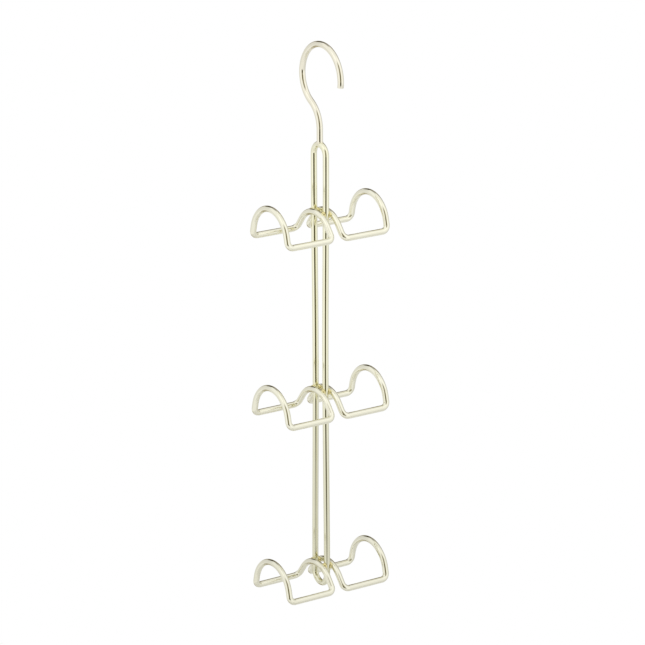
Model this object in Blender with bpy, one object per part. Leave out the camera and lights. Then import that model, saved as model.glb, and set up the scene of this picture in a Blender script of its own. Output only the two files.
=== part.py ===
"""Hanging rack for six bags, bent and welded from one gauge of round steel wire.

The rack hangs from a closet rod by an open hook. A long closed loop of wire hangs below the
hook and is its spine. Six bent wire saddles, three on each side, are welded to the spine,
and the straps and handles of bags lie over their arches. Nothing on the rack moves.

Frame: metres, +Z up. The origin is the point inside the hook that rests on the rod. X runs
along the rod, so the saddles stand to the left (-X) and right (+X) of the spine, and the
open side of the hook faces -Y, the front.
"""

import math

import bpy
from mathutils import Vector

# Wire
WIRE_DIAMETER = 0.00635
SEAT_GAP = 0.0003

# Hook, measured inside the bend that lies on the rod
HOOK_BORE_DIAMETER = 0.0587
HOOK_TIP_DROP_DEGREES = 9.0
HOOK_TIP_CHAMFER = 0.0007
HOOK_SWAN_RADIUS = 0.030
HOOK_TO_STEM_OFFSET = 0.003
STEM_END_DROP = 0.0941

# Spine loop, measured between wire centres
SPINE_HEIGHT = 0.4593
SPINE_END_WIDTH = 0.0206
SPINE_WAIST_WIDTH = 0.0170

# Saddles, measured between wire centres, heights from the level of the rails
TIER_SPACING = 0.1844
SADDLE_LENGTH = 0.0535
SADDLE_WIDTH = 0.0620
SADDLE_BEND_RADIUS = 0.0062
INNER_ARCH_HEIGHT = 0.0229
INNER_ARCH_SHOULDER = 0.0270
OUTER_ARCH_HEIGHT = 0.0336
OUTER_ARCH_SHOULDER = 0.0466

# Facets
WIRE_SIDES = 16
ARC_STEP_DEGREES = 13.0
LEG_STEPS = 12
SAME_POINT_DISTANCE = 0.00005

# Finish: bright plating in a pale brass tone
PLATING_COLOUR = (0.85, 0.83, 0.65, 1.0)
PLATING_METALLIC = 1.0
PLATING_ROUGHNESS = 0.10

WIRE_RADIUS = WIRE_DIAMETER / 2
HOOK_RADIUS = HOOK_BORE_DIAMETER / 2 + WIRE_RADIUS
HOOK_CENTRE_Z = -HOOK_BORE_DIAMETER / 2
SPINE_Y = HOOK_TO_STEM_OFFSET
SPINE_TOP_Z = -STEM_END_DROP - SEAT_GAP - WIRE_RADIUS
SPINE_BOTTOM_Z = SPINE_TOP_Z - SPINE_HEIGHT
SPINE_END_RADIUS = SPINE_END_WIDTH / 2
ARCH_OFFSET = WIRE_DIAMETER + SEAT_GAP
TIERS = ("lower", "middle", "upper")


def clear_scene():
    """Remove every object, so that only the rack is left."""
    for item in list(bpy.data.objects):
        bpy.data.objects.remove(item, do_unlink=True)


def arc_steps(angle):
    """Return how many facets an arc of this angle, in radians, is drawn with."""
    return max(2, math.ceil(math.degrees(abs(angle)) / ARC_STEP_DEGREES))


def arc_in_spine_plane(centre_y, centre_z, radius, start, end):
    """Return points along an arc in the plane of hook and spine, angles from +Y towards +Z."""
    steps = arc_steps(end - start)
    points = []
    for step in range(steps + 1):
        angle = start + (end - start) * step / steps
        points.append(Vector((0, centre_y + radius * math.cos(angle), centre_z + radius * math.sin(angle))))
    return points


def bend(before, corner, after, radius):
    """Return points along the bend that rounds a corner of a path of straight runs."""
    back = (before - corner).normalized()
    ahead = (after - corner).normalized()
    half_inside = back.angle(ahead) / 2
    turn = math.pi - 2 * half_inside
    tangent = radius / math.tan(half_inside)
    centre = corner + (back + ahead).normalized() * radius / math.sin(half_inside)
    start = corner + back * tangent - centre
    end = corner + ahead * tangent - centre
    steps = arc_steps(turn)
    points = []
    for step in range(steps + 1):
        share = step / steps
        weight = math.sin((1 - share) * turn) * start + math.sin(share * turn) * end
        points.append(centre + weight / math.sin(turn))
    return points


def bent_loop(corners, radii):
    """Return the points of a closed path whose corners are bent to the given radii."""
    points = []
    for index, corner in enumerate(corners):
        before = corners[index - 1]
        after = corners[(index + 1) % len(corners)]
        for point in bend(before, corner, after, radii[index]):
            if not points or (point - points[-1]).length > SAME_POINT_DISTANCE:
                points.append(point)
    if (points[0] - points[-1]).length < SAME_POINT_DISTANCE:
        points.pop()
    return points


def crown_radius(half_width, height, half_shoulder):
    """Return the bend radius at which the two top corners of an arch join in one arc."""
    turn = math.atan2(height, half_width - half_shoulder)
    return half_shoulder / math.tan(turn / 2)


def wire_mesh(name, points, diameter, closed, end_radii=None):
    """Return the mesh of a round wire along a path, with flat ends where it is open."""
    curve = bpy.data.curves.new(name + " path", "CURVE")
    curve.dimensions = "3D"
    curve.bevel_depth = diameter / 2
    curve.bevel_resolution = (WIRE_SIDES - 4) // 2
    curve.use_fill_caps = not closed
    spline = curve.splines.new("POLY")
    spline.points.add(len(points) - 1)
    for target, point in zip(spline.points, points):
        target.co = (*point, 1)
    for index, share in (end_radii or {}).items():
        spline.points[index].radius = share
    spline.use_cyclic_u = closed
    guide = bpy.data.objects.new(name + " path", curve)
    bpy.context.scene.collection.objects.link(guide)
    depsgraph = bpy.context.evaluated_depsgraph_get()
    mesh = bpy.data.meshes.new_from_object(guide.evaluated_get(depsgraph))
    bpy.data.objects.remove(guide, do_unlink=True)
    bpy.data.curves.remove(curve)
    mesh.name = name
    mesh.shade_smooth()
    mesh.set_sharp_from_angle(angle=math.radians(40))
    return mesh


def plated_steel(name):
    """Return the pale brass-tone plating of one piece of wire."""
    material = bpy.data.materials.new(name + " plated steel")
    material.use_nodes = True
    shader = material.node_tree.nodes["Principled BSDF"]
    shader.inputs["Base Color"].default_value = PLATING_COLOUR
    shader.inputs["Metallic"].default_value = PLATING_METALLIC
    shader.inputs["Roughness"].default_value = PLATING_ROUGHNESS
    material.diffuse_color = PLATING_COLOUR
    return material


def add_piece(name, mesh, parent, location=(0, 0, 0)):
    """Add one piece of the rack to the scene, dressed in its plating."""
    mesh.materials.clear()
    mesh.materials.append(plated_steel(name))
    piece = bpy.data.objects.new(name, mesh)
    bpy.context.scene.collection.objects.link(piece)
    piece.parent = parent
    piece.location = location
    return piece


def leg_y(z):
    """Return how far a leg's centre stands from the middle of the spine at height z."""
    half_straight = SPINE_HEIGHT / 2 - SPINE_END_RADIUS
    middle_z = (SPINE_TOP_Z + SPINE_BOTTOM_Z) / 2
    share = (z - middle_z) / half_straight
    draw_in = (SPINE_END_WIDTH - SPINE_WAIST_WIDTH) / 2
    return SPINE_END_RADIUS - draw_in * (1 + math.cos(math.pi * share)) / 2


def spine_path():
    """Return the closed path of the spine: two drawn-in legs and two round ends."""
    top_z = SPINE_TOP_Z - SPINE_END_RADIUS
    bottom_z = SPINE_BOTTOM_Z + SPINE_END_RADIUS
    points = arc_in_spine_plane(SPINE_Y, top_z, SPINE_END_RADIUS, 0, math.pi)
    for step in range(1, LEG_STEPS):
        z = top_z + (bottom_z - top_z) * step / LEG_STEPS
        points.append(Vector((0, SPINE_Y - leg_y(z), z)))
    points += arc_in_spine_plane(SPINE_Y, bottom_z, SPINE_END_RADIUS, math.pi, 2 * math.pi)
    for step in range(LEG_STEPS - 1, 0, -1):
        z = top_z + (bottom_z - top_z) * step / LEG_STEPS
        points.append(Vector((0, SPINE_Y + leg_y(z), z)))
    return points


def hook_path():
    """Return the open path of the hook, from its tip over the rod and down the stem.

    The round of the hook turns into the stem through a bend the other way, the swan neck.
    Both bends touch where the line between their centres crosses them, which fixes the
    angle at which the round ends.
    """
    reach = HOOK_SWAN_RADIUS + SPINE_Y
    join = math.acos(reach / (HOOK_RADIUS + HOOK_SWAN_RADIUS))
    tip = math.pi + math.radians(HOOK_TIP_DROP_DEGREES)
    swan_z = HOOK_CENTRE_Z - (HOOK_RADIUS + HOOK_SWAN_RADIUS) * math.sin(join)
    round_part = arc_in_spine_plane(0, HOOK_CENTRE_Z, HOOK_RADIUS, tip, -join)
    swan_neck = arc_in_spine_plane(reach, swan_z, HOOK_SWAN_RADIUS, math.pi - join, math.pi)
    end_direction = Vector((0, math.sin(tip), -math.cos(tip)))
    chamfer_start = round_part[0]
    tip_end = chamfer_start - end_direction * HOOK_TIP_CHAMFER
    stem_end = Vector((0, SPINE_Y, SPINE_TOP_Z))
    return [tip_end] + round_part + swan_neck[1:] + [stem_end]


def add_hook(parent):
    """Add the hook, its stem coped to sit on the round top of the spine."""
    tip_share = 1 - HOOK_TIP_CHAMFER / WIRE_RADIUS
    hook = add_piece("hook", wire_mesh("hook", hook_path(), WIRE_DIAMETER, False, {0: tip_share}), parent)
    seat = wire_mesh("stem cope", spine_path(), WIRE_DIAMETER + 2 * SEAT_GAP, True)
    cutter = bpy.data.objects.new("stem_cope_cutter", seat)
    bpy.context.scene.collection.objects.link(cutter)
    cutter.parent = parent
    cutter.hide_render = True
    cutter.display_type = "WIRE"
    cope = hook.modifiers.new("Stem cope", "BOOLEAN")
    cope.operation = "DIFFERENCE"
    cope.object = cutter


def saddle_path(side):
    """Return the closed path of a saddle on one side, -1 for left and +1 for right.

    Two level rails run out from the spine, front and back. A low arch with sloping legs
    joins them beside the spine and a high, nearly half-round one joins them at the far end.
    """
    near = side * ARCH_OFFSET
    far = side * (ARCH_OFFSET + SADDLE_LENGTH)
    half = SADDLE_WIDTH / 2
    inner_half = INNER_ARCH_SHOULDER / 2
    outer_half = OUTER_ARCH_SHOULDER / 2
    inner_crown = crown_radius(half, INNER_ARCH_HEIGHT, inner_half)
    outer_crown = crown_radius(half, OUTER_ARCH_HEIGHT, outer_half)
    corners = [
        Vector((near, half, 0)),
        Vector((near, inner_half, INNER_ARCH_HEIGHT)),
        Vector((near, -inner_half, INNER_ARCH_HEIGHT)),
        Vector((near, -half, 0)),
        Vector((far, -half, 0)),
        Vector((far, -outer_half, OUTER_ARCH_HEIGHT)),
        Vector((far, outer_half, OUTER_ARCH_HEIGHT)),
        Vector((far, half, 0)),
    ]
    foot = SADDLE_BEND_RADIUS
    return bent_loop(corners, [foot, inner_crown, inner_crown, foot, foot, outer_crown, outer_crown, foot])


def add_saddles(parent):
    """Add the three tiers of saddles, the lowest level with the bottom of the spine."""
    for tier, tier_name in enumerate(TIERS):
        height = SPINE_BOTTOM_Z + tier * TIER_SPACING
        for side, side_name in ((-1, "left"), (1, "right")):
            name = f"{tier_name}_{side_name}_saddle"
            mesh = wire_mesh(name, saddle_path(side), WIRE_DIAMETER, True)
            add_piece(name, mesh, parent, (0, SPINE_Y, height))


def main():
    """Build the rack under one empty at the point that rests on the rod."""
    clear_scene()
    rack = bpy.data.objects.new("rack", None)
    bpy.context.scene.collection.objects.link(rack)
    add_hook(rack)
    add_piece("spine_loop", wire_mesh("spine_loop", spine_path(), WIRE_DIAMETER, True), rack)
    add_saddles(rack)


main()
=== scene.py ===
"""Looks of a hanging rack for six bags, bent and welded from bright plated steel wire.

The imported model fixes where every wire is. This script draws each wire again as a fine
round sweep along the same centre line, adds the weld metal where wires are joined, gives
each piece its plated finish, and sets up a plain white studio with the camera.
"""

from __future__ import annotations

import logging
import math
from collections.abc import Iterable, Mapping, Sequence
from dataclasses import dataclass, field
from enum import Enum
from itertools import accumulate, pairwise

import bpy
from bpy.types import Material, Mesh, Node, NodeSocket, NodeTree, Object, World
from mathutils import Matrix, Quaternion, Vector


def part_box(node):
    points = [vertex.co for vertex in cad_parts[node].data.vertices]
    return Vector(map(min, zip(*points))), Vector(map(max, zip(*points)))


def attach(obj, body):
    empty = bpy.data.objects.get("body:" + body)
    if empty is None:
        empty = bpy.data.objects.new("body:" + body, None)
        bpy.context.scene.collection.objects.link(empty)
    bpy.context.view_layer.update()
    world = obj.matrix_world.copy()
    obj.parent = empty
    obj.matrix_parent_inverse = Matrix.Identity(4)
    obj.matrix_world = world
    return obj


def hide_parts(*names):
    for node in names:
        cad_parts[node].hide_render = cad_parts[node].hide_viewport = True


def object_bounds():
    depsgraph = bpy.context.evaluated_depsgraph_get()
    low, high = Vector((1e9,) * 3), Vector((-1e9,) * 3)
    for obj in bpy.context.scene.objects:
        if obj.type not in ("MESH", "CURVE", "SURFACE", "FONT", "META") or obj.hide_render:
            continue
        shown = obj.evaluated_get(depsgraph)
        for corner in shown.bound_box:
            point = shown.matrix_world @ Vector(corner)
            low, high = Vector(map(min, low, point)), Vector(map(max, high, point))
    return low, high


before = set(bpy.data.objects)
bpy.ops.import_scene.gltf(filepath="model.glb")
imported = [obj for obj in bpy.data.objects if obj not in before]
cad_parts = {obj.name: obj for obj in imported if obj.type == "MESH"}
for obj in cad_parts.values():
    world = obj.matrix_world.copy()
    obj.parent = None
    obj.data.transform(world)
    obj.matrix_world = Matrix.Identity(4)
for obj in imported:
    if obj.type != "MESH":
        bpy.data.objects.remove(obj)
CAD_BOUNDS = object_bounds()

LOG = logging.getLogger("bag_hanger")
BODY = "root"
MILLIMETRE = 0.001
Colour = tuple[float, float, float, float]


class Side(Enum):
    """The two sides of the spine, with the sign of X on each."""

    LEFT = -1
    RIGHT = 1


class Tier(Enum):
    """The three levels of saddles."""

    UPPER = "upper"
    MIDDLE = "middle"
    LOWER = "lower"


class Slot(Enum):
    """The record's material slots."""

    HOOK = "hook_wire"
    SPINE = "spine_wire"
    SADDLE = "saddle_wire"


def srgb(code: str) -> Colour:
    """Turn an sRGB hex colour into a linear colour with full alpha.

    Args:
        code: Six hex digits, with or without a leading hash mark.

    Returns:
        Linear red, green, blue and alpha.
    """
    digits = code.lstrip("#")
    channels = []
    for start in (0, 2, 4):
        value = int(digits[start:start + 2], 16) / 255
        channels.append(value / 12.92 if value <= 0.04045 else ((value + 0.055) / 1.055) ** 2.4)
    return (channels[0], channels[1], channels[2], 1.0)


def add_node(
    tree: NodeTree,
    kind: str,
    settings: Mapping[str, object] | None = None,
    values: Mapping[str | int, object] | None = None,
    links: Mapping[str | int, NodeSocket] | None = None,
) -> Node:
    """Add a node with its settings, socket values and incoming links.

    Args:
        tree: Node tree that receives the node.
        kind: Blender's identifier of the node.
        settings: Attributes of the node, by name.
        values: Default values of input sockets, by name or index.
        links: Output sockets to link in, by the name or index of the input they feed.

    Returns:
        The new node.
    """
    node = tree.nodes.new(kind)
    for name, value in (settings or {}).items():
        setattr(node, name, value)
    for key, value in (values or {}).items():
        node.inputs[key].default_value = value
    for key, source in (links or {}).items():
        tree.links.new(source, node.inputs[key])
    return node


def blank_material(name: str) -> tuple[Material, NodeTree, Node]:
    """Make a material that has only its output node.

    Args:
        name: Name of the material.

    Returns:
        The material, its node tree and its output node.
    """
    material = bpy.data.materials.new(name)
    material.use_nodes = True
    tree = material.node_tree
    tree.nodes.clear()
    return material, tree, add_node(tree, "ShaderNodeOutputMaterial")


@dataclass(frozen=True)
class BrassTonePlating:
    """Steel wire, drawn, bent and then electroplated in a pale brass tone.

    The bright plating reflects the studio almost like a mirror, so the eye sees cream
    lights and thin dark lines along the wire. Fine draw lines from the die run along it,
    and the plating's thickness wanders, which shifts the tone a little. The low end looks
    a little duller than the rest in the photograph; here that is painted shade, the tone
    darkened towards the bottom for the dimmer light that reaches the low end.

    Attributes:
        name: Name of the material.
        tone: Colour of the plating where it is of normal thickness.
        deep_tone: Colour where it is thicker.
        low_end_shade_share: Share of its tone that the low end keeps under the painted shade.
        shade_free_above: Height above which no painted shade lies on the tone.
        full_shade_below: Height below which the painted shade is full.
        roughness_low: Roughness of the brightest patches.
        roughness_high: Roughness of the dullest patches.
        cloud_mm: Size of the patches in which tone and roughness wander.
        draw_line_mm: Distance between the draw lines, coarser than the real 0.05 mm so
            that they show.
        draw_run_mm: Length over which one draw line stays the same.
        draw_depth_mm: Depth of the draw lines.
        peel_mm: Size of the faint ripple that the plating leaves.
        peel_depth_mm: Depth of that ripple.
    """

    name: str
    tone: str = "#F5F3DC"
    deep_tone: str = "#F0EDCF"
    low_end_shade_share: float = 0.865
    shade_free_above: float = -0.30
    full_shade_below: float = -0.45
    roughness_low: float = 0.03
    roughness_high: float = 0.06
    cloud_mm: float = 14.0
    draw_line_mm: float = 0.35
    draw_run_mm: float = 45.0
    draw_depth_mm: float = 0.0012
    peel_mm: float = 1.6
    peel_depth_mm: float = 0.002

    def build(self) -> Material:
        """Return the plated finish as a node material."""
        material, tree, output = blank_material(self.name)
        place = add_node(tree, "ShaderNodeTexCoord")
        clouds = add_node(
            tree, "ShaderNodeTexNoise",
            values={"Scale": 1 / (self.cloud_mm * MILLIMETRE), "Detail": 3.0, "Roughness": 0.55},
            links={"Vector": place.outputs["Object"]},
        )
        tone = add_node(
            tree, "ShaderNodeMix", settings={"data_type": "RGBA"},
            values={"A": srgb(self.tone), "B": srgb(self.deep_tone)},
            links={"Factor": clouds.outputs["Fac"]},
        )
        parts = add_node(tree, "ShaderNodeSeparateXYZ", links={"Vector": place.outputs["Object"]})
        # painted shade: the tone is darkened smoothly towards the bottom of the rack, for the dimmer
        # light that reaches the low end
        share = add_node(
            tree, "ShaderNodeMapRange", settings={"interpolation_type": "SMOOTHSTEP"},
            values={"From Min": self.full_shade_below, "From Max": self.shade_free_above, "To Min": self.low_end_shade_share},
            links={"Value": parts.outputs["Z"]},
        )
        tone_with_shade = add_node(
            tree, "ShaderNodeMix", settings={"data_type": "RGBA", "blend_type": "MULTIPLY"},
            values={"Factor": 1.0}, links={"A": tone.outputs["Result"], "B": share.outputs["Result"]},
        )
        # the noise stays mostly between 0.3 and 0.7
        dulling = add_node(
            tree, "ShaderNodeMapRange",
            values={"From Min": 0.3, "From Max": 0.7, "To Min": self.roughness_low,
                    "To Max": self.roughness_high},
            links={"Value": clouds.outputs["Fac"]},
        )
        along = 1 / (self.draw_run_mm * MILLIMETRE)
        across = 1 / (self.draw_line_mm * MILLIMETRE)
        stretch = add_node(
            tree, "ShaderNodeMapping", values={"Scale": (along, across, 1.0)},
            links={"Vector": place.outputs["UV"]},
        )
        draw_lines = add_node(
            tree, "ShaderNodeTexNoise", settings={"noise_dimensions": "2D"},
            values={"Scale": 1.0}, links={"Vector": stretch.outputs["Vector"]},
        )
        peel = add_node(
            tree, "ShaderNodeTexNoise", values={"Scale": 1 / (self.peel_mm * MILLIMETRE), "Detail": 1.0},
            links={"Vector": place.outputs["Object"]},
        )
        drawn = add_node(
            tree, "ShaderNodeBump", values={"Distance": self.draw_depth_mm * MILLIMETRE},
            links={"Height": draw_lines.outputs["Fac"]},
        )
        rippled = add_node(
            tree, "ShaderNodeBump", values={"Distance": self.peel_depth_mm * MILLIMETRE},
            links={"Height": peel.outputs["Fac"], "Normal": drawn.outputs["Normal"]},
        )
        shader = add_node(
            tree, "ShaderNodeBsdfPrincipled", values={"Metallic": 1.0},
            links={"Base Color": tone_with_shade.outputs["Result"], "Roughness": dulling.outputs["Result"],
                   "Normal": rippled.outputs["Normal"]},
        )
        tree.links.new(shader.outputs["BSDF"], output.inputs["Surface"])
        return material


@dataclass(frozen=True)
class PlatedWeldMetal:
    """Weld metal squeezed out between the wires and plated over with them.

    By default its tone is a deeper yellow than the wire's, partly painted reflection standing in
    for the light bounced between the crossing wires. It froze with a fine skin, so it is duller
    and slightly pitted, which makes each joint read as a small soft collar.

    Attributes:
        name: Name of the material.
        tone: Colour of the plating on the weld, its deeper yellow partly a painted reflection.
        pit_shade_tone: Colour in its pits, darker as painted shade where less light gets out.
        roughness: Roughness of the frozen skin.
        grain_mm: Size of the pits.
        grain_depth_mm: Depth of the pits.
    """

    name: str
    # deeper yellow than the wire: partly painted reflection of the light bounced between crossing wires
    tone: str = "#F2E9BE"
    pit_shade_tone: str = "#E4D79A"
    roughness: float = 0.17
    grain_mm: float = 0.5
    grain_depth_mm: float = 0.015

    def build(self) -> Material:
        """Return the weld's finish as a node material."""
        material, tree, output = blank_material(self.name)
        place = add_node(tree, "ShaderNodeTexCoord")
        grain = add_node(
            tree, "ShaderNodeTexNoise",
            values={"Scale": 1 / (self.grain_mm * MILLIMETRE), "Detail": 4.0, "Roughness": 0.6},
            links={"Vector": place.outputs["Object"]},
        )
        # painted shade: the pits of the grain get a darker colour, where less light gets out
        tone = add_node(
            tree, "ShaderNodeMix", settings={"data_type": "RGBA"},
            values={"A": srgb(self.pit_shade_tone), "B": srgb(self.tone)},
            links={"Factor": grain.outputs["Fac"]},
        )
        pitted = add_node(
            tree, "ShaderNodeBump",
            values={"Distance": self.grain_depth_mm * MILLIMETRE},
            links={"Height": grain.outputs["Fac"]},
        )
        shader = add_node(
            tree, "ShaderNodeBsdfPrincipled", values={"Metallic": 1.0, "Roughness": self.roughness},
            links={"Base Color": tone.outputs["Result"], "Normal": pitted.outputs["Normal"]},
        )
        tree.links.new(shader.outputs["BSDF"], output.inputs["Surface"])
        return material


@dataclass(frozen=True)
class StudioPaper:
    """Pale paper, matt and calendered, which the eye reads as one even ground.

    It runs out softly into the white walls, so that no edge shows behind the rack.

    Attributes:
        name: Name of the material.
        colour: Colour of the paper.
        fibre_colour: Colour of its slightly darker fibres.
        fibre_mm: Size of the fibre clouds, coarser than the real 1 mm so that they show.
        solid_reach: Distance from its middle up to which the paper is whole.
        whole_reach: Distance at which it has run out into the walls.
    """

    name: str
    colour: str = "#E2E2E0"
    fibre_colour: str = "#E0E0DE"
    fibre_mm: float = 4.0
    solid_reach: float = 0.35
    whole_reach: float = 1.6

    def build(self) -> Material:
        """Return the paper as a node material."""
        material, tree, output = blank_material(self.name)
        place = add_node(tree, "ShaderNodeTexCoord")
        fibres = add_node(
            tree, "ShaderNodeTexNoise", values={"Scale": 1 / (self.fibre_mm * MILLIMETRE), "Detail": 3.0},
            links={"Vector": place.outputs["Object"]},
        )
        colour = add_node(
            tree, "ShaderNodeMix", settings={"data_type": "RGBA"},
            values={"A": srgb(self.colour), "B": srgb(self.fibre_colour)},
            links={"Factor": fibres.outputs["Fac"]},
        )
        paper = add_node(tree, "ShaderNodeBsdfDiffuse", links={"Color": colour.outputs["Result"]})
        distance = add_node(
            tree, "ShaderNodeVectorMath", settings={"operation": "LENGTH"},
            links={"Vector": place.outputs["Object"]},
        )
        run_out = add_node(
            tree, "ShaderNodeMapRange", settings={"interpolation_type": "SMOOTHSTEP"},
            values={"From Min": self.solid_reach, "From Max": self.whole_reach},
            links={"Value": distance.outputs["Value"]},
        )
        clear = add_node(tree, "ShaderNodeBsdfTransparent")
        both = add_node(
            tree, "ShaderNodeMixShader",
            links={0: run_out.outputs["Result"], 1: paper.outputs["BSDF"], 2: clear.outputs["BSDF"]},
        )
        tree.links.new(both.outputs["Shader"], output.inputs["Surface"])
        return material


def arc(
    centre: Vector, first: Vector, second: Vector, start: float, end: float, step: float
) -> list[Vector]:
    """Return points along a circular arc.

    Args:
        centre: Centre of the circle.
        first: Radius vector at angle 0.
        second: Radius vector at a quarter turn.
        start: Angle of the first point, in radians.
        end: Angle of the last point, in radians.
        step: Largest angle between two points, in radians.

    Returns:
        The points, both ends included.
    """
    count = max(2, math.ceil(abs(end - start) / step))
    points = []
    for index in range(count + 1):
        angle = start + (end - start) * index / count
        points.append(centre + first * math.cos(angle) + second * math.sin(angle))
    return points


def full_turn(count: int) -> list[float]:
    """Return the angles of some points spread evenly round a circle, in radians."""
    return [2 * math.pi * index / count for index in range(count)]


def bend(before: Vector, corner: Vector, after: Vector, radius: float, step: float) -> list[Vector]:
    """Round one corner of a path of straight runs.

    Args:
        before: Corner before this one.
        corner: The corner to round.
        after: Corner after this one.
        radius: Bend radius of the wire's centre line.
        step: Largest angle between two points, in radians.

    Returns:
        Points along the bend, from the run before it to the run after it.
    """
    back = (before - corner).normalized()
    ahead = (after - corner).normalized()
    half_inside = back.angle(ahead) / 2
    centre = corner + (back + ahead).normalized() * radius / math.sin(half_inside)
    start = corner + back * radius / math.tan(half_inside) - centre
    return arc(centre, start, -back * radius, 0.0, math.pi - 2 * half_inside, step)


def drop_doubles(points: Iterable[Vector], closed: bool, least: float = 2e-5) -> list[Vector]:
    """Leave out points that lie on the one before.

    Args:
        points: Points of a path.
        closed: Whether the last point is followed by the first.
        least: Distance below which two points are one.

    Returns:
        The points that are left.
    """
    kept: list[Vector] = []
    for point in points:
        if not kept or (point - kept[-1]).length > least:
            kept.append(point)
    if closed and (kept[0] - kept[-1]).length <= least:
        kept.pop()
    return kept


@dataclass
class WireSweep:
    """A round wire swept along a centre line.

    Attributes:
        points: Centre line.
        diameter: Diameter of the wire.
        closed: Whether the wire is a closed loop.
        sides: Number of facets round the wire.
        radii: Share of the radius at each point, or none where all are 1.
        sharp_angle: Angle between faces from which an edge shows sharp, in radians.
    """

    points: Sequence[Vector]
    diameter: float
    closed: bool
    sides: int = 28
    radii: Sequence[float] = field(default_factory=list)
    sharp_angle: float = math.radians(50)

    def tangents(self) -> list[Vector]:
        """Return the direction of the wire at each point."""
        count = len(self.points)
        result = []
        for index in range(count):
            if self.closed:
                before, after = self.points[index - 1], self.points[(index + 1) % count]
            else:
                before, after = self.points[max(index - 1, 0)], self.points[min(index + 1, count - 1)]
            result.append((after - before).normalized())
        return result

    def normals(self, tangents: Sequence[Vector]) -> list[Vector]:
        """Carry one normal along the wire without twist, and share out what a loop gains.

        Args:
            tangents: Direction of the wire at each point.

        Returns:
            A unit normal for each point.
        """
        normal = tangents[0].orthogonal().normalized()
        result = [normal]
        for earlier, later in pairwise(tangents):
            turn = earlier.rotation_difference(later)
            normal = (turn @ normal).normalized()
            result.append(normal)
        if self.closed:
            closing = tangents[-1].rotation_difference(tangents[0]) @ normal
            twist = closing.angle(result[0])
            if closing.cross(result[0]).dot(tangents[0]) < 0:
                twist = -twist
            for index, tangent in enumerate(tangents):
                spin = Quaternion(tangent, twist * index / len(tangents))
                result[index] = spin @ result[index]
        return result

    def lengths(self) -> list[float]:
        """Return the length of wire up to each point, and in all at the end."""
        points = [*self.points, self.points[0]] if self.closed else self.points
        runs = ((after - before).length for before, after in pairwise(points))
        return list(accumulate(runs, initial=0.0))

    def mesh(self, name: str) -> Mesh:
        """Build the wire's mesh, with real lengths in metres as its UV map.

        Args:
            name: Name of the mesh.

        Returns:
            A closed mesh, shaded smooth, with flat ends where the wire is open.
        """
        tangents = self.tangents()
        normals = self.normals(tangents)
        shares = list(self.radii) or [1.0] * len(self.points)
        corners: list[Vector] = []
        for point, tangent, normal, share in zip(self.points, tangents, normals, shares):
            other = tangent.cross(normal)
            for angle in full_turn(self.sides):
                offset = normal * math.cos(angle) + other * math.sin(angle)
                corners.append(point + offset * share * self.diameter / 2)
        faces, places = self.skin()
        mesh = bpy.data.meshes.new(name)
        mesh.from_pydata([tuple(corner) for corner in corners], [], faces)
        layer = mesh.uv_layers.new(name="wire_length")
        for loop, place in zip(layer.data, places):
            loop.uv = place
        mesh.shade_smooth()
        mesh.set_sharp_from_angle(angle=self.sharp_angle)
        mesh.validate()
        return mesh

    def skin(self) -> tuple[list[tuple[int, ...]], list[tuple[float, float]]]:
        """Return the faces between the rings of corners, with the UV place of each corner."""
        girth = math.pi * self.diameter / self.sides
        count = len(self.points)
        faces: list[tuple[int, ...]] = []
        places: list[tuple[float, float]] = []
        for ring, (near, far) in enumerate(pairwise(self.lengths())):
            start = ring * self.sides
            after = (ring + 1) % count * self.sides
            for side in range(self.sides):
                beside = (side + 1) % self.sides
                faces.append((start + side, start + beside, after + beside, after + side))
                low, high = side * girth, (side + 1) * girth
                places += [(near, low), (near, high), (far, high), (far, low)]
        if not self.closed:
            last = (count - 1) * self.sides
            faces.append(tuple(reversed(range(self.sides))))
            faces.append(tuple(range(last, last + self.sides)))
            places += [(0.0, side * girth) for side in range(self.sides)] * 2
        return faces, places


def add_piece(name: str, mesh: Mesh, material: Material, node: str | None = None) -> Object:
    """Add one visible piece that rides on the rack.

    Args:
        name: Name of the piece.
        mesh: Its mesh, in the rack's own frame.
        material: Its finish.
        node: The CAD node that it stands for, or none for weld metal.

    Returns:
        The new object.
    """
    mesh.materials.append(material)
    piece = bpy.data.objects.new(name, mesh)
    bpy.context.scene.collection.objects.link(piece)
    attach(piece, BODY)
    if node:
        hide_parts(node)
    return piece


@dataclass
class WeldBead:
    """A closed ring of weld metal with the slight unevenness of a real one.

    Attributes:
        points: Centre line of the bead.
        diameter: Thickness of the bead.
        unevenness: Largest share by which the thickness wanders.
        phase: Where along the ring the unevenness starts, so that no two are alike.
        swells: Number of slow swells round the ring.
        ripples: Number of quick ripples round the ring.
        ripple_share: Height of the ripples beside the swells.
        ripple_phase: How much faster the ripples shift with the phase.
        sides: Number of facets round the bead.
    """

    points: Sequence[Vector]
    diameter: float
    unevenness: float = 0.14
    phase: float = 0.0
    swells: int = 2
    ripples: int = 5
    ripple_share: float = 0.6
    ripple_phase: float = 2.3
    sides: int = 12

    def mesh(self, name: str) -> Mesh:
        """Return the bead's mesh.

        Args:
            name: Name of the mesh.

        Returns:
            A closed mesh.
        """
        radii = []
        for angle in full_turn(len(self.points)):
            swell = math.sin(self.swells * angle + self.phase)
            ripple = math.sin(self.ripples * angle + self.ripple_phase * self.phase)
            wander = swell + self.ripple_share * ripple
            radii.append(1 + self.unevenness * wander / (1 + self.ripple_share))
        return WireSweep(self.points, self.diameter, True, self.sides, radii).mesh(name)


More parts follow.
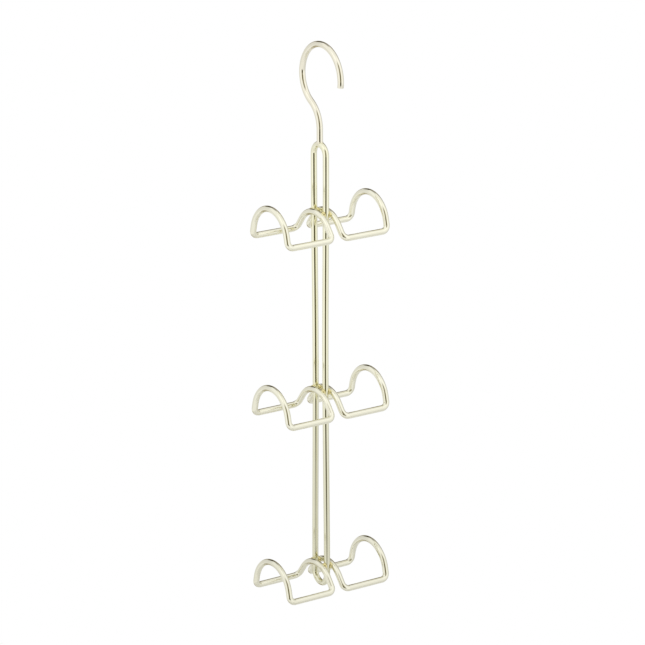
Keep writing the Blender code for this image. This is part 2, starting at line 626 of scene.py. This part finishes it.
@dataclass
class SpineLoop:
    """The long closed loop that hangs from the hook and carries the saddles.

    Attributes:
        wire: Diameter of the wire.
        top: Height of the wire's centre at the top of the loop.
        bottom: Height of the wire's centre at the bottom.
        middle_y: Y of the loop's middle.
        end_width: Width at the round ends, between wire centres.
        waist_width: Width at mid height, where the legs draw in.
        step: Largest angle between two points of a bend, in radians.
        leg_steps: Number of stretches that a leg is drawn with.
    """

    wire: float
    top: float
    bottom: float
    middle_y: float
    end_width: float
    waist_width: float = 0.0170
    step: float = math.radians(5)
    leg_steps: int = 60

    @classmethod
    def from_frame(cls) -> SpineLoop:
        """Place the loop by the box of its CAD node."""
        low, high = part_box("spine_loop")
        wire = high[0] - low[0]
        return cls(
            wire=wire,
            top=high[2] - wire / 2,
            bottom=low[2] + wire / 2,
            middle_y=(low[1] + high[1]) / 2,
            end_width=high[1] - low[1] - wire,
        )

    @property
    def end_radius(self) -> float:
        """Return the bend radius of the round ends."""
        return self.end_width / 2

    def half_width(self, height: float) -> float:
        """Return how far a leg's centre stands from the middle.

        Args:
            height: Z at which the leg is asked for.

        Returns:
            The distance along Y.
        """
        half_leg = (self.top - self.bottom) / 2 - self.end_radius
        share = (height - (self.top + self.bottom) / 2) / half_leg
        draw_in = (self.end_width - self.waist_width) / 2
        return self.end_radius - draw_in * (1 + math.cos(math.pi * share)) / 2

    def path(self) -> list[Vector]:
        """Return the closed centre line of the loop."""
        across = Vector((0, self.end_radius, 0))
        upwards = Vector((0, 0, self.end_radius))
        high = self.top - self.end_radius
        low = self.bottom + self.end_radius
        points = arc(Vector((0, self.middle_y, high)), across, upwards, 0, math.pi, self.step)
        heights = [high + (low - high) * index / self.leg_steps for index in range(1, self.leg_steps)]
        points += [Vector((0, self.middle_y - self.half_width(z), z)) for z in heights]
        points += arc(Vector((0, self.middle_y, low)), across, upwards, math.pi, 2 * math.pi, self.step)
        points += [Vector((0, self.middle_y + self.half_width(z), z)) for z in reversed(heights)]
        return drop_doubles(points, closed=True)

    def build(self, finish: Material) -> Object:
        """Add the loop in place of its CAD node.

        Args:
            finish: Plated finish of the wire.

        Returns:
            The loop's object.
        """
        mesh = WireSweep(self.path(), self.wire, closed=True).mesh("spine_loop_wire")
        return add_piece("spine_loop_wire", mesh, finish, "spine_loop")


@dataclass
class RodHook:
    """The open hook for the closet rod, with its swan neck, stem and butt weld.

    Attributes:
        spine: The loop that the stem stands on.
        bore: Inner diameter of the round of the hook.
        tip_drop: Angle by which the tip passes the level of the round's centre, in radians.
        tip_rounding: Radius of the dressed edge at the tip.
        tip_steps: Number of rings with which that edge is drawn.
        swan_radius: Bend radius between the round and the stem.
        weld_diameter: Thickness of the weld bead round the foot of the stem.
        weld_points: Number of points along that bead.
        weld_reach: Radius of its ring as a share of the wire's.
        weld_softening: How far its saddle shape is flattened where it is lowest.
        weld_phase: Where along the ring the bead's unevenness starts.
        step: Largest angle between two points of a bend, in radians.
    """

    spine: SpineLoop
    bore: float = 0.0587
    tip_drop: float = math.radians(9)
    tip_rounding: float = 0.0008
    tip_steps: int = 6
    swan_radius: float = 0.030
    weld_diameter: float = 0.0012
    weld_points: int = 48
    weld_reach: float = 1.02
    weld_softening: float = 0.04
    weld_phase: float = 0.7
    step: float = math.radians(4)

    @property
    def radius(self) -> float:
        """Return the bend radius of the round, at the wire's centre."""
        return (self.bore + self.spine.wire) / 2

    def path(self) -> tuple[list[Vector], list[float]]:
        """Return the open centre line from tip to stem, and the share of the radius there."""
        centre = Vector((0, 0, -self.bore / 2))
        reach = self.swan_radius + self.spine.middle_y
        join = math.acos(reach / (self.radius + self.swan_radius))
        tip = math.pi + self.tip_drop
        across = Vector((0, 1, 0))
        upwards = Vector((0, 0, 1))
        round_part = arc(centre, across * self.radius, upwards * self.radius, tip, -join, self.step)
        swan_centre = centre + Vector((0, reach, -(self.radius + self.swan_radius) * math.sin(join)))
        aside, above = across * self.swan_radius, upwards * self.swan_radius
        swan_neck = arc(swan_centre, aside, above, math.pi - join, math.pi, self.step)
        stem_end = Vector((0, self.spine.middle_y, self.spine.top))
        body = drop_doubles(round_part + swan_neck + [stem_end], closed=False)
        outwards = Vector((0, -math.sin(tip), math.cos(tip)))
        dressed, shares = self.dressed_tip(body[0], -outwards)
        return dressed + body, shares + [1.0] * len(body)

    def dressed_tip(self, end: Vector, outwards: Vector) -> tuple[list[Vector], list[float]]:
        """Return the rings of the rounded edge at the tip, outermost first.

        Args:
            end: Where the full wire ends.
            outwards: Direction in which the wire would go on.

        Returns:
            Points beyond the end and the share of the radius at each.
        """
        points = []
        shares = []
        rounding_share = self.tip_rounding / (self.spine.wire / 2)
        for index in range(self.tip_steps, 0, -1):
            angle = math.pi / 2 * index / self.tip_steps
            points.append(end + outwards * self.tip_rounding * math.sin(angle))
            shares.append(1 - rounding_share * (1 - math.cos(angle)))
        return points, shares

    def weld_path(self) -> list[Vector]:
        """Return the ring along which the stem's round meets the top of the loop."""
        radius = self.spine.wire / 2
        points = []
        for angle in full_turn(self.weld_points):
            along = radius * math.sin(angle)
            bend_drop = self.spine.end_radius - math.sqrt(self.spine.end_radius ** 2 - along ** 2)
            rise = radius * math.sqrt(math.sin(angle) ** 2 + self.weld_softening)
            x = radius * math.cos(angle) * self.weld_reach
            y = self.spine.middle_y + along * self.weld_reach
            points.append(Vector((x, y, self.spine.top - bend_drop + rise)))
        return points

    def build(self, finish: Material, weld: Material) -> list[Object]:
        """Add the hook in place of its CAD node, and the weld at its foot.

        Args:
            finish: Plated finish of the wire.
            weld: Finish of the weld metal.

        Returns:
            The hook's object and the weld's.
        """
        points, shares = self.path()
        wire = WireSweep(points, self.spine.wire, closed=False, radii=shares).mesh("rod_hook_wire")
        hook = add_piece("rod_hook_wire", wire, finish, "hook")
        bead = WeldBead(self.weld_path(), self.weld_diameter, phase=self.weld_phase).mesh("stem_weld")
        return [hook, add_piece("stem_weld", bead, weld)]


@dataclass
class Saddle:
    """One closed wire bent into two rails, a low inner arch and a high outer arch.

    Attributes:
        tier: Level of the saddle.
        side: Side of the spine.
        spine: The loop that the saddle is welded to.
        near: X of the inner arch's plane.
        far: X of the outer arch's plane.
        rails: Height of the rails' centres.
        middle_y: Y midway between the rails.
        half_width: Distance from there to a rail's centre.
        bend_radius: Bend radius of the four foot corners.
        inner_height: Height of the inner arch's top corners above the rails.
        inner_shoulder: Distance between those corners.
        outer_height: Height of the outer arch's top corners above the rails.
        outer_shoulder: Distance between those corners.
        step: Largest angle between two points of a bend, in radians.
        run_mm: Largest distance between two points of a straight run.
        weld_ring: Radius of the ring of weld metal at a crossing.
        weld_diameter: Thickness of that ring.
        weld_points: Number of points along it.
        phase_per_metre: Shift of a weld's unevenness with its height.
        phase_per_leg: Shift of it between the legs.
        crossing_rounds: Number of rounds in which a crossing's height settles.
    """

    tier: Tier
    side: Side
    spine: SpineLoop
    near: float
    far: float
    rails: float
    middle_y: float
    half_width: float
    bend_radius: float = 0.0062
    inner_height: float = 0.0229
    inner_shoulder: float = 0.0270
    outer_height: float = 0.0336
    outer_shoulder: float = 0.0466
    step: float = math.radians(5)
    run_mm: float = 6.0
    weld_ring: float = 0.0027
    weld_diameter: float = 0.00175
    weld_points: int = 32
    phase_per_metre: float = 37.0
    phase_per_leg: float = 0.4
    crossing_rounds: int = 8

    @classmethod
    def from_frame(cls, tier: Tier, side: Side, spine: SpineLoop) -> Saddle:
        """Place a saddle by the box of its CAD node.

        Args:
            tier: Level of the saddle.
            side: Side of the spine.
            spine: The loop that it is welded to.

        Returns:
            The saddle.
        """
        low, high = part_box(cls.node_name(tier, side))
        radius = spine.wire / 2
        inner, outer = sorted((abs(low[0]), abs(high[0])))
        return cls(
            tier=tier,
            side=side,
            spine=spine,
            near=side.value * (inner + radius),
            far=side.value * (outer - radius),
            rails=low[2] + radius,
            middle_y=(low[1] + high[1]) / 2,
            half_width=(high[1] - low[1]) / 2 - radius,
        )

    @staticmethod
    def node_name(tier: Tier, side: Side) -> str:
        """Return the name of the CAD node of one saddle."""
        return f"{tier.value}_{side.name.lower()}_saddle"

    def crown(self, height: float, half_shoulder: float) -> float:
        """Return the radius at which the two top corners of an arch join in one arc.

        Args:
            height: Height of the corners above the rails.
            half_shoulder: Half the distance between them.

        Returns:
            The bend radius.
        """
        turn = math.atan2(height, self.half_width - half_shoulder)
        return half_shoulder / math.tan(turn / 2)

    def path(self) -> list[Vector]:
        """Return the closed centre line of the saddle."""
        arches = (
            (self.near, self.half_width, self.inner_shoulder / 2, self.inner_height),
            (self.far, -self.half_width, -self.outer_shoulder / 2, self.outer_height),
        )
        corners: list[Vector] = []
        radii: list[float] = []
        for x, rail, shoulder, height in arches:
            crown = self.crown(height, abs(shoulder))
            places = ((rail, 0), (shoulder, height), (-shoulder, height), (-rail, 0))
            corners += [Vector((x, self.middle_y + y, self.rails + rise)) for y, rise in places]
            radii += [self.bend_radius, crown, crown, self.bend_radius]
        points: list[Vector] = []
        for index, corner in enumerate(corners):
            after = corners[(index + 1) % len(corners)]
            points += bend(corners[index - 1], corner, after, radii[index], self.step)
        return self.fill_runs(drop_doubles(points, closed=True))

    def fill_runs(self, points: Sequence[Vector]) -> list[Vector]:
        """Add points along the straight runs of a closed path.

        Args:
            points: Points of the closed path.

        Returns:
            The path with no run longer than run_mm.
        """
        filled: list[Vector] = []
        for index, point in enumerate(points):
            after = points[(index + 1) % len(points)]
            count = math.ceil((after - point).length / (self.run_mm * MILLIMETRE))
            filled += [point.lerp(after, part / count) for part in range(count)]
        return filled

    def crossing(self, leg: int) -> tuple[Vector, Vector]:
        """Find where the inner arch crosses one leg of the spine.

        Args:
            leg: -1 for the front leg and 1 for the back one.

        Returns:
            The point between the two wires and the direction of the arch there.
        """
        crown = self.crown(self.inner_height, self.inner_shoulder / 2)
        crown_z = self.rails + self.inner_height - crown
        height = self.rails + self.inner_height
        for _ in range(self.crossing_rounds):
            y = self.spine.half_width(height)
            height = crown_z + math.sqrt(crown ** 2 - y ** 2)
        radial = Vector((0, leg * y, height - crown_z)).normalized()
        arch = Vector((0, radial.z, -radial.y))
        return Vector((self.near / 2, self.middle_y + leg * y, height)), arch

    def weld_path(self, leg: int) -> list[Vector]:
        """Return the ring that lies midway between arch and leg round their crossing.

        Args:
            leg: -1 for the front leg and 1 for the back one.

        Returns:
            Points of the closed ring.
        """
        centre, arch = self.crossing(leg)
        upright = Vector((0, 0, 1))
        across_leg = Vector((0, 1, 0))
        across_arch = Vector((0, -arch.z, arch.y))
        points = []
        for angle in full_turn(self.weld_points):
            offset = (across_leg * math.cos(angle) + upright * math.sin(angle)) * self.weld_ring
            off_leg = offset.dot(across_leg)
            off_arch = offset.dot(across_arch)
            lean = (off_arch ** 2 - off_leg ** 2) / (2 * self.spine.wire)
            points.append(centre + offset + Vector((self.side.value * lean, 0, 0)))
        return points

    def build(self, finish: Material, weld: Material) -> list[Object]:
        """Add the saddle in place of its CAD node, and its two welds.

        Args:
            finish: Plated finish of the wire.
            weld: Finish of the weld metal.

        Returns:
            The saddle's object and the two welds'.
        """
        node = self.node_name(self.tier, self.side)
        mesh = WireSweep(self.path(), self.spine.wire, closed=True).mesh(f"{node}_wire")
        pieces = [add_piece(f"{node}_wire", mesh, finish, node)]
        for leg, word in ((-1, "front"), (1, "back")):
            name = f"{node}_{word}_weld"
            phase = self.rails * self.phase_per_metre + self.side.value + leg * self.phase_per_leg
            bead = WeldBead(self.weld_path(leg), self.weld_diameter, phase=phase).mesh(name)
            pieces.append(add_piece(name, bead, weld))
        return pieces


@dataclass
class StudioView:
    """The camera, at the photograph's angle.

    Attributes:
        azimuth: Angle of the view round the rack, to its left, in radians.
        elevation: Angle of the camera above the level, in radians.
        roll: Angle by which the camera leans to its left, in radians.
        distance: Distance from the camera to the point it looks at.
        sideways: Distance of that point to the right of the origin.
        below: Distance of that point below the origin, square to the view.
        lens_mm: Focal length.
        sensor_mm: Width of the sensor.
        reach: Distance up to which the camera sees.
    """

    azimuth: float = 0.6167
    elevation: float = 0.2836
    roll: float = -0.0031
    distance: float = 3.2909
    sideways: float = 0.00121
    below: float = 0.26846
    lens_mm: float = 188.08
    sensor_mm: float = 36.0
    reach: float = 100.0

    def build(self) -> Object:
        """Add the camera and make it the scene's own."""
        level = math.cos(self.elevation)
        east, north = math.sin(self.azimuth), math.cos(self.azimuth)
        ahead = Vector((east * level, north * level, -math.sin(self.elevation)))
        level_right = Vector((north, -east, 0))
        right = Quaternion(ahead, -self.roll) @ level_right
        upwards = right.cross(ahead)
        target = right * self.sideways - upwards * self.below
        data = bpy.data.cameras.new("studio_camera")
        data.lens = self.lens_mm
        data.sensor_width = self.sensor_mm
        data.sensor_fit = "HORIZONTAL"
        data.clip_end = self.reach
        camera = bpy.data.objects.new("studio_camera", data)
        turn = Matrix((right, upwards, -ahead)).transposed().to_4x4()
        camera.matrix_world = Matrix.Translation(target - ahead * self.distance) @ turn
        bpy.context.scene.collection.objects.link(camera)
        bpy.context.scene.camera = camera
        return camera


@dataclass
class Softbox:
    """One rectangular studio lamp.

    Attributes:
        name: Name of the lamp.
        azimuth: Direction in which it stands, from +Y towards +X, in degrees.
        elevation: Its angle above the level of the rack's middle, in degrees.
        width: Width of its front.
        height: Height of its front.
        level: Brightness of its front, where 1 is white.
        distance: Distance from the rack's middle.
    """

    name: str
    azimuth: float
    elevation: float
    width: float
    height: float
    level: float
    distance: float = 2.4

    def build(self, aim: Vector) -> Object:
        """Add the lamp, turned to face the rack.

        Args:
            aim: The rack's middle.

        Returns:
            The lamp's object.
        """
        data = bpy.data.lights.new(self.name, "AREA")
        data.shape = "RECTANGLE"
        data.size = self.width
        data.size_y = self.height
        data.energy = self.level * math.pi * self.width * self.height
        lamp = bpy.data.objects.new(self.name, data)
        away = towards(self.azimuth, self.elevation)
        lamp.location = aim + away * self.distance
        lamp.rotation_euler = (-away).to_track_quat("-Z", "Y").to_euler()
        lamp.visible_camera = False
        bpy.context.scene.collection.objects.link(lamp)
        return lamp


def towards(azimuth: float, elevation: float) -> Vector:
    """Return the unit vector in a direction given in degrees, azimuth from +Y towards +X."""
    turn, rise = math.radians(azimuth), math.radians(elevation)
    return Vector((math.sin(turn) * math.cos(rise), math.cos(turn) * math.cos(rise), math.sin(rise)))


@dataclass(frozen=True)
class Shade:
    """A part of the studio that is lighter or darker than the rest, as bright metal shows it.

    Attributes:
        azimuth: Direction of its middle, from +Y towards +X, in degrees.
        elevation: Angle of its middle above the level, in degrees.
        half_width: Half its width before its edge softens, in degrees.
        half_height: Half its height before its edge softens, in degrees.
        edge: Width of its soft edge, in degrees.
        level: Its brightness, where 1 is white.
        tint: Its colour at full brightness.
    """

    azimuth: float
    elevation: float
    half_width: float
    half_height: float
    edge: float
    level: float
    tint: str = "#FFFFFF"

    @property
    def light(self) -> Colour:
        """Return the shade's light as a linear colour, which may be brighter than white."""
        red, green, blue, alpha = srgb(self.tint)
        return (red * self.level, green * self.level, blue * self.level, alpha)


@dataclass
class Surround:
    """The walls of the studio: plain white, with the darker parts that bright metal shows.

    Attributes:
        level: Brightness of the walls, where 1 is white.
        shades: Parts that differ, each laid over those before it.
    """

    level: float = 1.0
    shades: Sequence[Shade] = (
        # azimuth, elevation, half width, half height, edge, level, tint
        Shade(0, -65, 180, 45, 12, 0.95),
        Shade(140, -42, 26, 18, 14, 0.80),
        Shade(25, 58, 16, 6, 10, 0.35),
        Shade(72, 0, 18, 32, 36, 0.70),
        Shade(3, -58, 24, 16, 16, 0.38, "#FFF0C8"),
        Shade(342, 8, 12, 20, 18, 0.80),
        Shade(318, -12, 12, 8, 14, 0.84),
        Shade(38, 22, 24, 16, 14, 0.27, "#FFF0C8"),
        Shade(14, 35, 16, 6, 9, 0.05, "#FFF0C8"),
        Shade(168, 3, 9, 14, 12, 1.14),
        Shade(275, -4, 14, 8, 12, 1.08),
        Shade(212, 16, 13, 18, 20, 0.33, "#FAEFC8"),
        Shade(215, -14.5, 20, 2, 7, 0.07, "#FFF27A"),
        Shade(220, 2, 6, 6, 10, 0.12, "#FFF27A"),
    )

    @property
    def white(self) -> Colour:
        """Return the walls' own light."""
        return (self.level, self.level, self.level, 1.0)

    def spread(
        self, tree: NodeTree, angle: NodeSocket, middle: float, half: float, edge: float
    ) -> NodeSocket:
        """Add nodes that are 1 near an angle and fall softly to 0 away from it.

        Args:
            tree: Node tree of the world.
            angle: The angle, in radians.
            middle: Angle at which the middle lies, in degrees.
            half: Half the width of the full part, in degrees.
            edge: Width of the soft edge, in degrees.

        Returns:
            A socket between 0 and 1.
        """
        off = add_node(
            tree, "ShaderNodeMath", settings={"operation": "SUBTRACT"}, values={1: math.radians(middle)},
            links={0: angle},
        )
        wrapped = add_node(
            tree, "ShaderNodeMath", settings={"operation": "WRAP"}, values={1: math.pi, 2: -math.pi},
            links={0: off.outputs["Value"]},
        )
        size = add_node(
            tree, "ShaderNodeMath", settings={"operation": "ABSOLUTE"},
            links={0: wrapped.outputs["Value"]},
        )
        fall = add_node(
            tree, "ShaderNodeMapRange", settings={"interpolation_type": "SMOOTHSTEP"},
            values={"From Min": math.radians(half), "From Max": math.radians(half + edge),
                    "To Min": 1.0, "To Max": 0.0},
            links={"Value": size.outputs["Value"]},
        )
        return fall.outputs["Result"]

    def pattern(self, tree: NodeTree) -> NodeSocket:
        """Add the nodes that give the walls' light in each direction.

        Args:
            tree: Node tree of the world.

        Returns:
            The light's colour.
        """
        place = add_node(tree, "ShaderNodeTexCoord")
        parts = add_node(tree, "ShaderNodeSeparateXYZ", links={"Vector": place.outputs["Generated"]})
        azimuth = add_node(
            tree, "ShaderNodeMath", settings={"operation": "ARCTAN2"},
            links={0: parts.outputs["X"], 1: parts.outputs["Y"]},
        )
        elevation = add_node(
            tree, "ShaderNodeMath", settings={"operation": "ARCSINE"}, links={0: parts.outputs["Z"]}
        )
        turn, rise = azimuth.outputs["Value"], elevation.outputs["Value"]
        light: NodeSocket | None = None
        for shade in self.shades:
            across = self.spread(tree, turn, shade.azimuth, shade.half_width, shade.edge)
            upright = self.spread(tree, rise, shade.elevation, shade.half_height, shade.edge)
            share = add_node(
                tree, "ShaderNodeMath", settings={"operation": "MULTIPLY"}, links={0: across, 1: upright}
            )
            mixed = add_node(
                tree, "ShaderNodeMix", settings={"data_type": "RGBA"},
                values={"A": self.white, "B": shade.light}, links={"Factor": share.outputs["Value"]},
            )
            if light is not None:
                tree.links.new(light, mixed.inputs["A"])
            light = mixed.outputs["Result"]
        return light

    def build(self) -> World:
        """Make the world: plain white for every ray, and darker in parts where bright metal shows it."""
        world = bpy.data.worlds.new("studio_surround")
        bpy.context.scene.world = world
        world.use_nodes = True
        tree = world.node_tree
        tree.nodes.clear()
        path = add_node(tree, "ShaderNodeLightPath")
        colour = add_node(
            tree, "ShaderNodeMix", settings={"data_type": "RGBA"}, values={"A": self.white},
            links={"Factor": path.outputs["Is Glossy Ray"], "B": self.pattern(tree)},
        )
        background = add_node(
            tree, "ShaderNodeBackground", values={"Strength": 1.0},
            links={"Color": colour.outputs["Result"]},
        )
        output = add_node(tree, "ShaderNodeOutputWorld")
        tree.links.new(background.outputs["Background"], output.inputs["Surface"])
        return world


@dataclass
class Studio:
    """Floor, walls and lamps of a plain white room.

    Attributes:
        floor_drop: Distance of the floor below the rod, as in a wardrobe.
        paper_sides: Number of sides with which the round sheet of paper is drawn.
        lamps: The softboxes.
    """

    floor_drop: float = 1.75
    paper_sides: int = 64
    lamps: Sequence[Softbox] = (
        Softbox("right_softbox", azimuth=152, elevation=46, width=1.9, height=1.7, level=0.14),
        Softbox("left_softbox", azimuth=255, elevation=52, width=1.5, height=1.5, level=0.17),
    )

    def add_floor(self) -> Object:
        """Add the round sheet of paper that is the floor."""
        paper = StudioPaper("pale_studio_paper")
        turns = [360 * index / self.paper_sides for index in range(self.paper_sides)]
        # anticlockwise as seen from above, so that the sheet faces up
        rim = [towards(-turn, 0) * paper.whole_reach for turn in turns]
        mesh = bpy.data.meshes.new("floor")
        mesh.from_pydata([tuple(corner) for corner in rim], [], [tuple(range(self.paper_sides))])
        mesh.materials.append(paper.build())
        floor = bpy.data.objects.new("floor", mesh)
        floor.location = (0, 0, -self.floor_drop)
        bpy.context.scene.collection.objects.link(floor)
        return floor

    def build(self, aim: Vector) -> None:
        """Add the whole studio.

        Args:
            aim: The rack's middle.
        """
        self.add_floor()
        Surround().build()
        for lamp in self.lamps:
            lamp.build(aim)
        bpy.context.scene.view_settings.view_transform = "Standard"


def main() -> None:
    """Build the rack's pieces in order, then the studio, and report each."""
    logging.basicConfig(level=logging.INFO, format="%(name)s: %(message)s")
    hook_finish = BrassTonePlating(
        "brass_tone_electroplated_steel_hook", tone="#F3EFDE", deep_tone="#EEE9D5"
    ).build()
    spine_finish = BrassTonePlating("brass_tone_electroplated_steel_spine").build()
    # the saddles keep more of their tone under the painted shade at the low end
    saddle_finish = BrassTonePlating(
        "brass_tone_electroplated_steel_saddle", tone="#F4F2E1", deep_tone="#EFECD5", low_end_shade_share=0.92
    ).build()
    saddle_weld_finish = PlatedWeldMetal("brass_tone_plated_weld_metal_saddle").build()
    stem_weld_finish = PlatedWeldMetal(
        "brass_tone_plated_weld_metal_stem", tone="#F4F0E2", pit_shade_tone="#E9E3CB"
    ).build()
    spine = SpineLoop.from_frame()
    pieces = [spine.build(spine_finish)]
    pieces += RodHook(spine).build(hook_finish, stem_weld_finish)
    for tier in Tier:
        for side in Side:
            pieces += Saddle.from_frame(tier, side, spine).build(saddle_finish, saddle_weld_finish)
    for piece in pieces:
        LOG.info("%s: %d faces", piece.name, len(piece.data.polygons))
    Studio().build((CAD_BOUNDS[0] + CAD_BOUNDS[1]) / 2)
    StudioView().build()


if __name__ == "__main__":
    main()
